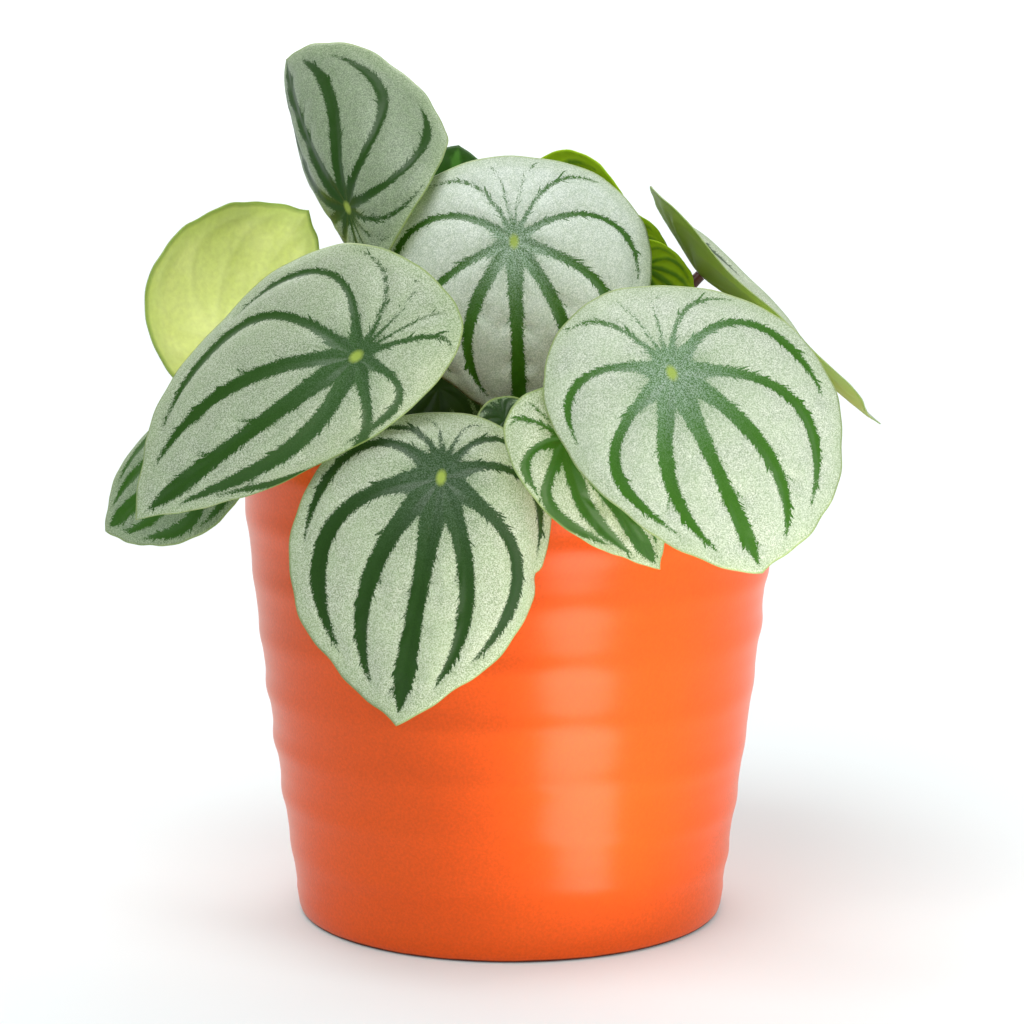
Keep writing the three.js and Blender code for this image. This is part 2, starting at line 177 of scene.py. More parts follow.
def turn(name, stations, sides):
    """Turns a closed form from (radius, height) in mm: a disc, extruded and scaled ring by ring."""
    deselect()
    radius, height = stations[0]
    bpy.ops.mesh.primitive_circle_add(vertices=sides, radius=radius * MM, fill_type="NGON",
                                      location=(0, 0, height * MM))
    piece = bpy.context.object
    piece.name = name
    bpy.ops.object.transform_apply(location=True)
    bpy.ops.object.mode_set(mode="EDIT")
    for next_radius, next_height in stations[1:]:
        rise = (0, 0, (next_height - height) * MM)
        bpy.ops.mesh.extrude_region_move(TRANSFORM_OT_translate={"value": rise})
        share = next_radius / radius
        bpy.ops.transform.resize(value=(share, share, 1), center_override=(0, 0, next_height * MM))
        radius, height = next_radius, next_height
    bpy.ops.mesh.select_all(action="SELECT")
    bpy.ops.mesh.normals_make_consistent(inside=False)
    bpy.ops.object.mode_set(mode="OBJECT")
    return piece


def positions(piece):
    """The piece's vertices as an array of points."""
    points = np.empty(len(piece.data.vertices) * 3)
    piece.data.vertices.foreach_get("co", points)
    return points.reshape(-1, 3)


def move_to(piece, points):
    """Sets the piece's vertices."""
    piece.data.vertices.foreach_set("co", np.asarray(points, dtype=float).ravel())
    piece.data.update()


def smooth(piece, degrees):
    """Smooths the piece's shading, but for edges sharper than this."""
    deselect()
    piece.select_set(True)
    bpy.context.view_layer.objects.active = piece
    bpy.ops.object.shade_smooth_by_angle(angle=math.radians(degrees))


def wall_radius(height):
    """The outside of the pot's wall in mm, without its rings."""
    rise = (height - FOOT_ROUNDING) / (POT_HEIGHT - FOOT_ROUNDING)
    return FOOT_RADIUS + (RIM_RADIUS - FOOT_RADIUS) * rise + BELLY * math.sin(math.pi * max(rise, 0))


stations = [(51, 0.5), (51.6, 0), (54, 0), (54.9, 0.25), (55.5, 0.9), (55.9, 2.2), (56.2, 4), (56.5, 6)]
stations += [(wall_radius(h), h) for h in np.arange(8, 126.1, 1.0)]
lip = WALL / 2
for i in range(9):
    angle = math.pi * i / 8
    stations.append((RIM_RADIUS - lip + lip * math.cos(angle), POT_HEIGHT - lip + lip * math.sin(angle)))
stations += [(wall_radius(h) - WALL, h) for h in (120, 110, 95, 80, 65, 50, 35, 20)]
stations += [(50.5, 11), (47, POT_FLOOR + 0.8), (43, POT_FLOOR), (30, POT_FLOOR)]
pot = turn("glazed_pot", stations, POT_SIDES)
points = positions(pot)
radius = np.hypot(points[:, 0], points[:, 1])
angle = np.arctan2(points[:, 1], points[:, 0])
height = points[:, 2] / MM
wander = RING_WANDER * (np.sin(2 * angle + 1.9) + np.sin(height / 17 + angle))
along = 2 * math.pi * height / RING_PITCH + RING_PHASE + wander
ring = np.sin(along) - 0.25 * np.cos(2 * along)
outside = radius / MM > np.array([wall_radius(h) for h in height]) - 2
fade = np.clip((height - RINGS_FROM) / 6, 0, 1) * np.clip((RINGS_TO - height) / 5, 0, 1)
strength = 1 + 0.35 * np.sin(3 * angle + height / 11) + 0.25 * np.sin(5 * angle - height / 23)
grown = 1 + np.where(outside, fade * strength * RING_DEPTH * MM * ring / np.maximum(radius, 1e-6), 0)
points[:, 0] *= grown
points[:, 1] *= grown
move_to(pot, points)
for i in range(DRAIN_HOLES):
    turned = 2 * math.pi * i / DRAIN_HOLES + math.pi / 2
    place = (DRAIN_CIRCLE * MM * math.cos(turned), DRAIN_CIRCLE * MM * math.sin(turned), 0)
    deselect()
    bpy.ops.mesh.primitive_cylinder_add(vertices=32, radius=DRAIN_RADIUS * MM, depth=30 * MM, location=place)
    drill = bpy.context.object
    hole = pot.modifiers.new("drain_hole", "BOOLEAN")
    hole.object = drill
    hole.operation = "DIFFERENCE"
    bpy.context.view_layer.objects.active = pot
    bpy.ops.object.modifier_apply(modifier=hole.name)
    bpy.data.objects.remove(drill)
smooth(pot, 35)

# Satin glaze over stoneware: an even orange with a soft sheen, a fine orange-peel skin and a bare brown foot.
glaze, tree, shader = new_material("satin_orange_glaze", Roughness=0.28, IOR=1.45, Specular_IOR_Level=0.24)
place = add_node(tree, "TexCoord", {}).outputs["Object"]
cloud = add_node(tree, "TexNoise", {"Vector": place, "Scale": 28.0, "Detail": 3.0})
body = add_node(tree, "Mix", {0: cloud, 6: "#E45412", 7: "#EA5C16"}, data_type="RGBA")
peel = add_node(tree, "TexNoise", {"Vector": place, "Scale": 1400.0, "Detail": 2.0, "Roughness": 0.6})
speck = add_node(tree, "MapRange", {0: peel, 1: 0.3, 2: 0.7, 3: 0.9, 4: 1.07})
skin = add_node(tree, "Mix", {0: 1.0, 6: body, 7: speck}, data_type="RGBA", blend_type="MULTIPLY")
height = add_node(tree, "SeparateXYZ", {0: place}).outputs["Z"]
edge = add_node(tree, "TexNoise", {"Vector": place, "Scale": 120.0})
lifted = add_node(tree, "Math", {0: edge, 1: 0.0006, 2: height}, operation="MULTIPLY_ADD")
glazed = add_node(tree, "MapRange", {0: lifted, 1: 0.0009, 2: 0.0013})
color = add_node(tree, "Mix", {0: glazed, 6: "#5A2A1A", 7: skin}, data_type="RGBA")
rough = add_node(tree, "MapRange", {0: glazed, 3: 0.85, 4: 0.28})
bump = add_node(tree, "Bump", {"Height": peel, "Distance": 0.00004, "Strength": 0.5})
feed(tree, shader, {"Base Color": color, "Roughness": rough, "Normal": bump})
pot.data.materials.clear()
pot.data.materials.append(glaze)
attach(pot, "root")
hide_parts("pot")


# Potting mix
# Dark peat and fine bark, filled to 14 mm below the rim and pressed round the crowns. It is one lumpy body,
# with loose bark crumbs and white perlite grains lying on top.
MIX_LEVEL = 116
MIX_GAP = 0.6
MIX_RADIUS = wall_radius(MIX_LEVEL) - WALL - MIX_GAP


def mix_height(x, y):
    """The height of the mix in mm, above a point in mm."""
    lumps = 1.1 * math.sin(x / 7 + 1) * math.cos(y / 8) + 0.7 * math.sin((x + y) / 4.3)
    grit = noise.fractal(Vector((x / 3.5, y / 3.5, 0.7)), 0.9, 2.1, 4)
    return MIX_LEVEL + lumps + 1.0 * grit


stations = [(42, 7.3), (46, 9), (49, 12.5)]
stations += [(wall_radius(h) - WALL - MIX_GAP, h) for h in (22, 50, 82, 112, MIX_LEVEL - 1)]
stations += [(MIX_RADIUS * share, MIX_LEVEL) for share in np.linspace(0.985, 0.012, 48)]
mix = turn("potting_mix_body", stations, 150)
points = positions(mix)
for point in points:
    if point[2] > (MIX_LEVEL - 0.5) * MM:
        point[2] = mix_height(point[0] / MM, point[1] / MM) * MM
move_to(mix, points)
smooth(mix, 50)

# Peat and composted bark: near black, matte, each grain a slightly different brown.
peat, tree, shader = new_material("peat_and_bark", Roughness=0.95)
place = add_node(tree, "TexCoord", {}).outputs["Object"]
grain = add_node(tree, "TexVoronoi", {"Vector": place, "Scale": 520.0})
fibre = add_node(tree, "TexNoise", {"Vector": place, "Scale": 260.0, "Detail": 4.0})
tint = add_node(tree, "SeparateColor", {0: grain.outputs["Color"]})
brown = add_node(tree, "Mix", {0: tint, 6: "#1C130E", 7: "#4A3426"}, data_type="RGBA")
shade = add_node(tree, "MapRange", {0: fibre, 1: 0.3, 2: 0.7, 3: 0.5, 4: 1.2})
color = add_node(tree, "Mix", {0: 1.0, 6: brown, 7: shade}, data_type="RGBA", blend_type="MULTIPLY")
bump = add_node(tree, "Bump", {"Height": fibre, "Distance": 0.0006})
feed(tree, shader, {"Base Color": color, "Normal": bump})
mix.data.materials.append(peat)
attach(mix, "root")
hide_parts("potting_mix")

# Perlite: expanded white glass, chalky and full of pores.
perlite_white, tree, shader = new_material("perlite", Roughness=0.9)
place = add_node(tree, "TexCoord", {}).outputs["Object"]
pores = add_node(tree, "TexNoise", {"Vector": place, "Scale": 1800.0, "Detail": 3.0})
color = add_node(tree, "Mix", {0: pores, 6: "#B9B09C", 7: "#EFEBDD"}, data_type="RGBA")
bump = add_node(tree, "Bump", {"Height": pores, "Distance": 0.0003})
feed(tree, shader, {"Base Color": color, "Normal": bump})


def scatter(name, count, smallest, largest, flatness, material, seed):
    """Lies rough grains on the mix: one small rock, copied, squashed and turned at random."""
    rng = random.Random(seed)
    deselect()
    bpy.ops.mesh.primitive_ico_sphere_add(subdivisions=1, radius=MM)
    rock = bpy.context.object
    rock.name = name
    shape = positions(rock)
    for point in shape:
        point *= 1 + 0.3 * noise.noise(Vector(point) / MM * 1.3)
    grains = []
    faces = np.array([list(face.vertices) for face in rock.data.polygons])
    for _ in range(count):
        reach = MIX_RADIUS * 0.97 * math.sqrt(rng.random())
        turned = rng.uniform(0, 2 * math.pi)
        x, y = reach * math.cos(turned), reach * math.sin(turned)
        size = rng.uniform(smallest, largest)
        scale = np.array([size * rng.uniform(0.8, 1.5), size * rng.uniform(0.6, 1.0), size * flatness])
        tilt = [rng.uniform(-0.5, 0.5), rng.uniform(-0.5, 0.5), rng.uniform(0, 6.28)]
        spun = np.array(Euler(tilt).to_matrix())
        centre = np.array([x, y, mix_height(x, y) + 0.25 * size * flatness]) * MM
        grains.append((shape * scale) @ spun.T + centre)
    mesh = bpy.data.meshes.new(name)
    rows = [tuple(p) for grain_points in grains for p in grain_points]
    cells = [tuple(face + i * len(shape)) for i in range(count) for face in faces]
    mesh.from_pydata(rows, [], cells)
    rock.data = mesh
    rock.data.materials.append(material)
    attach(rock, "root")


scatter("bark_crumbs", 420, 1.0, 2.6, 0.6, peat, 11)
scatter("perlite_grains", 90, 0.8, 1.8, 0.8, perlite_white, 12)


# Petioles and crowns
# The plant has three short crowns in the mix. Each leaf stands on a round, fleshy, dark red stalk that grows
# from its crown and runs into the blade's underside, a third of the way in, as a handle meets a shield.
def leaf(name, at, long, wide, face, rise, spin, bend, navel, point, egg, crown, reach,
         arch=0, uneven=0, lean=0):
    """A leaf, in mm and degrees.

    at is the navel, where the petiole meets the blade. face is the compass direction of the upper side, with
    -90 to the front, and rise its angle above level. spin turns the tip from straight down the slope. bend
    says how far the left side, right side, tip and base curve down. navel, point and egg are shares: of the
    length behind the navel, of the length in the drip tip, and of widening towards the base. reach is how far
    the petiole stands off the underside, and arch lifts its bend over the rim. uneven is the share by which
    the right side is wider and the left one narrower, and lean how far the sides slip along the midrib.
    """
    return dict(name=name, at=at, long=long, wide=wide, face=face, rise=rise, spin=spin, bend=bend,
                navel=navel, point=point, egg=egg, crown=crown, reach=reach,
                arch=arch, uneven=uneven, lean=lean)


CROWNS = {"left": (-26, -8), "right": (21, -10), "back": (0, 26)}
LEAVES = [
    leaf("top_middle", (1, -22, 181), 72, 74, -91, 18, 2, (35, 35, 50, 22),
         0.33, 0.05, 0.14, "back", 26),
    leaf("front_right", (39, -93, 159.2), 78, 68, -91, 20, 25, (28, 26, 24, 18),
         0.31, 0.05, 0.12, "right", 26, uneven=-0.06, lean=-0.25),
    leaf("front_middle", (-17, -81.5, 131.2), 79, 68, -98, 14, -9, (60, 20, 10, 34),
         0.22, 0.085, 0.1, "left", 20, arch=10.5, uneven=0.04, lean=0.1),
    leaf("front_left", (-37.8, -80, 161), 98, 56, -105, 14.5, -53, (84, 38, 16, 14),
         0.285, 0.085, 0.22, "left", 24, uneven=0.31, lean=0.16),
    leaf("upright", (-43, -5, 187), 77, 52, -145, 0, 231, (84, 62, 20, 10),
         0.27, 0.085, 0.14, "left", 22, uneven=0.43),
    leaf("lime_left", (-77, 10, 150.3), 62, 46, 112, -25, 222, (35, 35, 20, 20),
         0.29, 0.085, 0.02, "left", 16, uneven=0.2),
    leaf("low_left", (-78, -42, 131), 50, 38, -125, 25, -48, (25, 25, 15, 10),
         0.29, 0.05, 0.14, "left", 20, arch=24),
    leaf("front_narrow", (14.4, -84.5, 141), 58, 31, -62, 2, 36, (20, 30, 0, 20),
         0.27, 0.085, 0.14, "right", 18, arch=2, lean=-0.3),
    leaf("right_edge", (51, 5, 169.6), 88, 76, 8, 44.5, 0, (-21, -12, -8, -20),
         0.29, 0.085, 0.14, "right", 18),
    leaf("lime_top", (10, 16, 184), 38, 40, 75, 10, -60, (20, 20, 15, 15),
         0.29, 0.085, 0.14, "back", 12),
    leaf("young_upper", (26.5, 7, 175.5), 28, 24, 85, 12, -50, (15, 15, 10, 10),
         0.29, 0.085, 0.14, "right", 10),
    leaf("young_lower", (34.5, -3, 172.5), 24, 18, 85, 20, -50, (25, 25, 10, 10),
         0.29, 0.085, 0.14, "right", 9),
    leaf("dark_top", (-18, 22, 175), 46, 42, -80, 35, 165, (25, 25, 20, 15),
         0.29, 0.085, 0.14, "back", 14),
    leaf("young_front", (50, -73, 133), 36, 26, -80, 10, 14, (20, 20, 10, 30),
         0.29, 0.085, 0.14, "right", 12, arch=4),
    leaf("sprout", (-1, -35, 137.5), 22, 17, -80, 30, 20, (20, 20, 10, 10),
         0.29, 0.085, 0.14, "back", 8),
    leaf("inner_middle", (-19, 12, 137.5), 36, 34, -92, 22, -62, (20, 20, 25, 15),
         0.29, 0.08, 0.14, "back", 8),
    leaf("inner_left", (-43, -26, 159), 44, 40, -170, 62, 0, (20, 20, 25, 15),
         0.29, 0.08, 0.14, "left", 12),
    leaf("inner_right", (43, -28, 157), 46, 40, -30, 62, 0, (20, 20, 25, 15),
         0.29, 0.08, 0.14, "right", 12),
    leaf("back_right", (50, 20, 148), 58, 56, 22, 58, 0, (15, 15, 35, 20),
         0.29, 0.08, 0.14, "right", 14),
    leaf("back_middle_right", (34, 46, 161), 68, 60, 54, 66, 0, (15, 15, 45, 20),
         0.29, 0.08, 0.14, "back", 16),
    leaf("back_middle", (-2, 54, 152), 70, 62, 92, 68, 0, (15, 15, 45, 20),
         0.3, 0.08, 0.14, "back", 14),
    leaf("back_left", (-34, 46, 160), 66, 60, 126, 66, 0, (15, 15, 45, 20),
         0.29, 0.08, 0.14, "back", 14),
    leaf("side_left", (-60, 27, 141), 48, 44, 160, 60, 0, (15, 15, 30, 15),
         0.29, 0.08, 0.14, "left", 12),
    leaf("side_right", (64, -22, 142), 44, 40, -15, 45, 0, (20, 20, 25, 15),
         0.29, 0.08, 0.14, "right", 12),
    leaf("low_back_right", (56, 60, 132), 56, 50, 45, 20, 0, (25, 25, 20, 70),
         0.18, 0.08, 0.14, "back", 14, arch=9),
    leaf("low_back_left", (-50, 66, 132), 54, 48, 128, 20, 0, (25, 25, 20, 70),
         0.18, 0.08, 0.14, "back", 14, arch=9),
]
NAVEL_DIP = 1.5
PETIOLE_SEAT = 0.7
CROWN_ROOT = 115
LARGE_LEAF = 50
LARGE_PETIOLE = (2.1, 1.5)
SMALL_PETIOLE = (1.5, 1.0)


def blade_axes(leaf):
    """The blade's own directions: to the right of its midrib, to its tip, and out of its upper side."""
    a, e, w = (math.radians(leaf[key]) for key in ("face", "rise", "spin"))
    up = Vector((math.cos(a) * math.cos(e), math.sin(a) * math.cos(e), math.sin(e)))
    down = Vector((math.cos(a) * math.sin(e), math.sin(a) * math.sin(e), -math.cos(e)))
    tip = down * math.cos(w) + up.cross(down) * math.sin(w)
    return tip.cross(up), tip, up


# Succulent stalk: dark red brown, waxy, with fine pale flecks and a greener tint where it is young.
stalk, tree, shader = new_material("petiole_skin", Roughness=0.38)
place = add_node(tree, "TexCoord", {}).outputs["Object"]
fleck = add_node(tree, "TexNoise", {"Vector": place, "Scale": 900.0, "Detail": 2.0})
tone = add_node(tree, "TexNoise", {"Vector": place, "Scale": 60.0})
red = add_node(tree, "Mix", {0: tone, 6: "#43150F", 7: "#6E3326"}, data_type="RGBA")
pale = add_node(tree, "MapRange", {0: fleck, 1: 0.58, 2: 0.72, 3: 0.0, 4: 0.5})
color = add_node(tree, "Mix", {0: pale, 6: red, 7: "#A06A50"}, data_type="RGBA")
bump = add_node(tree, "Bump", {"Height": tone, "Distance": 0.0004})
feed(tree, shader, {"Base Color": color, "Normal": bump})

CROWN_STATIONS = [(5, 102), (6.5, 106), (6.6, 110), (6.4, 113), (6.9, 114.5), (6.2, 116), (6.4, 117),
                  (5.6, 118.5), (4.2, 120), (2.5, 121), (0.6, 121.4)]
for crown, (x, y) in CROWNS.items():
    stub = turn("crown_" + crown, CROWN_STATIONS, 32)
    move_to(stub, positions(stub) + np.array([x, y, 0]) * MM)
    tubes = []
    for row in LEAVES:
        if row["crown"] != crown:
            continue
        up = blade_axes(row)[2]
        meet = Vector(row["at"]) - up * (NAVEL_DIP + PETIOLE_SEAT)
        outward = Vector((meet.x - x, meet.y - y, 0))
        spread = min(2.5, outward.length / 4)
        outward.normalize()
        root = Vector((x, y, CROWN_ROOT)) + outward * spread
        before = meet - up * row["reach"] + Vector((0, 0, row["arch"]))
        lift = 0.45 * max(before.z - root.z, 26)
        after = root + outward * 0.25 * lift + Vector((0, 0, lift))
        deselect()
        bpy.ops.curve.primitive_bezier_curve_add()
        tube = bpy.context.object
        tube.data.bevel_depth = MM
        tube.data.bevel_resolution = 3
        tube.data.resolution_u = 28
        tube.data.use_fill_caps = True
        first, last = tube.data.splines[0].bezier_points
        root_radius, navel_radius = LARGE_PETIOLE if row["long"] > LARGE_LEAF else SMALL_PETIOLE
        for knot, place, before_it, after_it, thick in (
                (first, root, root * 2 - after, after, root_radius),
                (last, meet, before, meet * 2 - before, navel_radius)):
            knot.handle_left_type = knot.handle_right_type = "FREE"
            knot.co = place * MM
            knot.handle_left = before_it * MM
            knot.handle_right = after_it * MM
            knot.radius = thick
        bpy.ops.object.convert(target="MESH")
        tubes.append(bpy.context.object)
    deselect()
    for tube in tubes:
        tube.select_set(True)
    stub.select_set(True)
    bpy.context.view_layer.objects.active = stub
    bpy.ops.object.join()
    smooth(stub, 50)
    stub.data.materials.clear()
    stub.data.materials.append(stalk)
    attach(stub, "root")
    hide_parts("crown_" + crown)


# Leaf blades
# Thick, slightly succulent blades, round with a short drip tip and held by the navel. The upper side is
# silver with dark green stripes over the veins, which bow out from the navel like those of a melon.
BLADE_THICKNESS = 0.7
THIN_MARGIN = 4
DIP_SPREAD = 60
FULL_SIZE = 80
VEIN_STEPS = 25
SPURRED_VEINS = 40
VEINS = {
    # angle from the tip: half-width of its stripe, bow, end on the margin, inset there, bow's end and inset
    0: (2.0,),
    36: (1.7, 0.43, 0.27, 0.93, 0.75, 0.78),
    72: (1.45, 0.74, 0.58, 0.92, 1.15, 0.92),
    127: (1.05, 0.74, 1.5, 0.9, 2.0, 0.97),
    160: (0.55, 0.58, 2.5, 0.94, 2.8, 0.92),
    174: (0.22, 0.5, 2.95, 0.88, 3.05, 0.9),
}
# How single leaves look: width of the stripes against the usual, mm of green haze round the navel, silver
# dust and painted sheen on the stripes there, and how grey, how deep green and how pale the blade is. The
# grey is painted shade on leaves that face away from the light, and the pale is a painted sheen on the top
# leaves' domes
LOOKS = {
    "top_middle": (1.0, 9, 0.7, 0.1, 0.3, 0.65),
    "front_right": (1.0, 13, 0.6, 0.0, 0.2, 0.2),
    "front_middle": (1.3, 14, 0.15, 0.1, 1.0, 0.0),
    "front_left": (0.85, 7, 0.1, 0.4, 0.8, 0.0),
    "upright": (1.15, 6, 0.0, 1.0, 0.9, 0.0),
    "front_narrow": (1.5, 12, 0.0, 0.1, 0.4, 0.0),
    # These four lie under other leaves. They are greyed, hazed or deepened to dark green: painted shade.
    "low_left": (1.7, 26, 0.0, 1.0, 0.5, 0.0),
    "sprout": (4.0, 60, 0.0, 1.0, 1.0, 0.0),
    "inner_middle": (4.0, 60, 0.0, 1.0, 1.0, 0.0),
    "dark_top": (1.0, 5, 0.0, 0.0, 1.0, 0.0),
    "right_edge": (1.1, 8, 0.2, 0.2, 1.0, 0.0),
}
USUAL_LOOK = (1.1, 8, 0.2, 0.2, 0.4, 0.0)
# A haze past this covers the whole blade, its navel too
FULL_HAZE = 50
# How high a full-sized blade swells between its veins, usually and on the smooth one at the far left
USUAL_QUILT = 0.55
QUILTS = {"lime_left": 0.2}
# A torn notch in a margin: its angle, breadth in radians and share of the way in
TORN = {"front_middle": (-1.42, 0.06, 0.07)}


def margin(leaf, t):
    """The flat blade's margin in mm at angle t, 0 at the tip, from the navel."""
    body = leaf["long"] * (1 - leaf["point"]) / 2
    uneven = 1 + np.sign(np.sin(t)) * leaf["uneven"]
    x = leaf["wide"] / 2 * np.sin(t) * (1 - leaf["egg"] * np.cos(t)) * uneven
    drip = leaf["point"] * leaf["long"] * np.exp(-np.abs(t) / 0.3)
    lean = leaf["lean"] * x
    return x, body * np.cos(t) + drip + body - leaf["navel"] * leaf["long"] + lean


def blade_points(leaf, x, y):
    """Curves flat points in mm, from the navel, and sets them in their place."""
    side, tip, up = (np.array(axis) for axis in blade_axes(leaf))
    left, right, end, base = (math.radians(b) for b in leaf["bend"])
    across = np.where(x < 0, left, right) / (leaf["wide"] / 2)
    to_tip, to_base = leaf["long"] * (1 - leaf["navel"]), leaf["long"] * leaf["navel"]
    along = np.where(y > 0, end / to_tip, base / to_base)
    along = np.where(np.abs(along) < 1e-6, 1e-6, along)
    radius = 1 / along + (np.cos(across * x) - 1) / across
    height = radius * np.cos(along * y) - 1 / along - NAVEL_DIP * np.exp(-(x * x + y * y) / DIP_SPREAD)
    return (np.array(leaf["at"]) + np.outer(np.sin(across * x) / across, side)
            + np.outer(radius * np.sin(along * y), tip) + np.outer(height, up))


def vein_segments(leaf, width, rng):
    """The flat blade's veins as short lines: both ends, the stripe's half-widths there, and the way along."""
    rows = []

    def lay(points, widths, number):
        reached = 0
        for i in range(len(points) - 1):
            length = math.dist(points[i], points[i + 1])
            rows.append((*points[i], *points[i + 1], widths[i], widths[i + 1], reached, length, number))
            reached += length

    size = leaf["long"] / FULL_SIZE
    steps = np.linspace(0, 1, VEIN_STEPS)
    for side in (-1, 1):
        for angle, (half, *course) in VEINS.items():
            if not course:
                if side < 0:
                    continue
                reach = leaf["long"] * (1 - leaf["navel"]) * 0.96
                points = [(0, s * reach) for s in steps]
            else:
                bow, end, inset, turn_at, turn_inset = course
                end += rng.uniform(-0.03, 0.03)
                ex, ey = (inset * v for v in margin(leaf, side * end))
                ox, oy = (turn_inset * v for v in margin(leaf, side * turn_at))
                reach = math.hypot(ex, ey) * bow
                a = math.radians(angle + rng.uniform(-4, 4)) * side
                points = []
                for s in steps:
                    b, c, d = 3 * (1 - s) ** 2 * s, 3 * (1 - s) * s * s, s ** 3
                    points.append((b * math.sin(a) * reach + c * ox + d * ex,
                                   b * math.cos(a) * reach + c * oy + d * ey))
            half *= size * width * rng.uniform(0.88, 1.12)
            taper = 0.15 if angle == 0 else 0.3
            fade = [min(1, ((1 - s) / taper) ** 0.7) for s in steps]
            widths = [half * f * (1 + 0.1 * math.sin(9 * s + angle)) for f, s in zip(fade, steps)]
            number = angle * side
            lay(points, widths, number)
            if angle > SPURRED_VEINS:
                continue
            for spur in range(3 if angle == 0 else 2):
                for turned in (-1, 1) if angle == 0 else (rng.choice((-1, 1)),):
                    way = 0.38 + 0.2 * spur + rng.uniform(-0.06, 0.06)
                    at = min(VEIN_STEPS - 2, int(VEIN_STEPS * way))
                    px, py = points[at]
                    qx, qy = points[at + 1]
                    heading = math.atan2(qx - px, qy - py) + turned * math.radians(rng.uniform(26, 38))
                    reach = half + rng.uniform(1.5, 4.5) * size
                    dx, dy = reach * math.sin(heading), reach * math.cos(heading)
                    line = [(px + s * dx, py + s * dy) for s in (0, 0.5, 1)]
                    lay(line, (0.8 * size, 0.45 * size, 0.02), number + 7 + spur)
    return np.array(rows)


def vein_fields(leaf, width, x, y, rng):
    """For flat points: how far inside a stripe, how far from a vein, and the place along and off the vein."""
    s = vein_segments(leaf, width, rng)
    dx, dy = s[:, 2] - s[:, 0], s[:, 3] - s[:, 1]
    length = np.maximum(s[:, 7], 1e-9)
    px, py = x[:, None] - s[:, 0], y[:, None] - s[:, 1]
    share = np.clip((px * dx + py * dy) / length ** 2, 0, 1)
    off_x, off_y = px - share * dx, py - share * dy
    distance = np.hypot(off_x, off_y)
    inside = s[:, 4] + share * (s[:, 5] - s[:, 4]) - distance
    best = np.argmax(inside, axis=1)
    rows = np.arange(len(x))
    along = (s[:, 6] + share * length)[rows, best]
    signed = np.sign((off_x * dy - off_y * dx)[rows, best]) * distance[rows, best]
    main = s[:, 8] % 1 == 0
    return inside[rows, best], distance[:, main].min(axis=1), along, signed, s[best, 8]


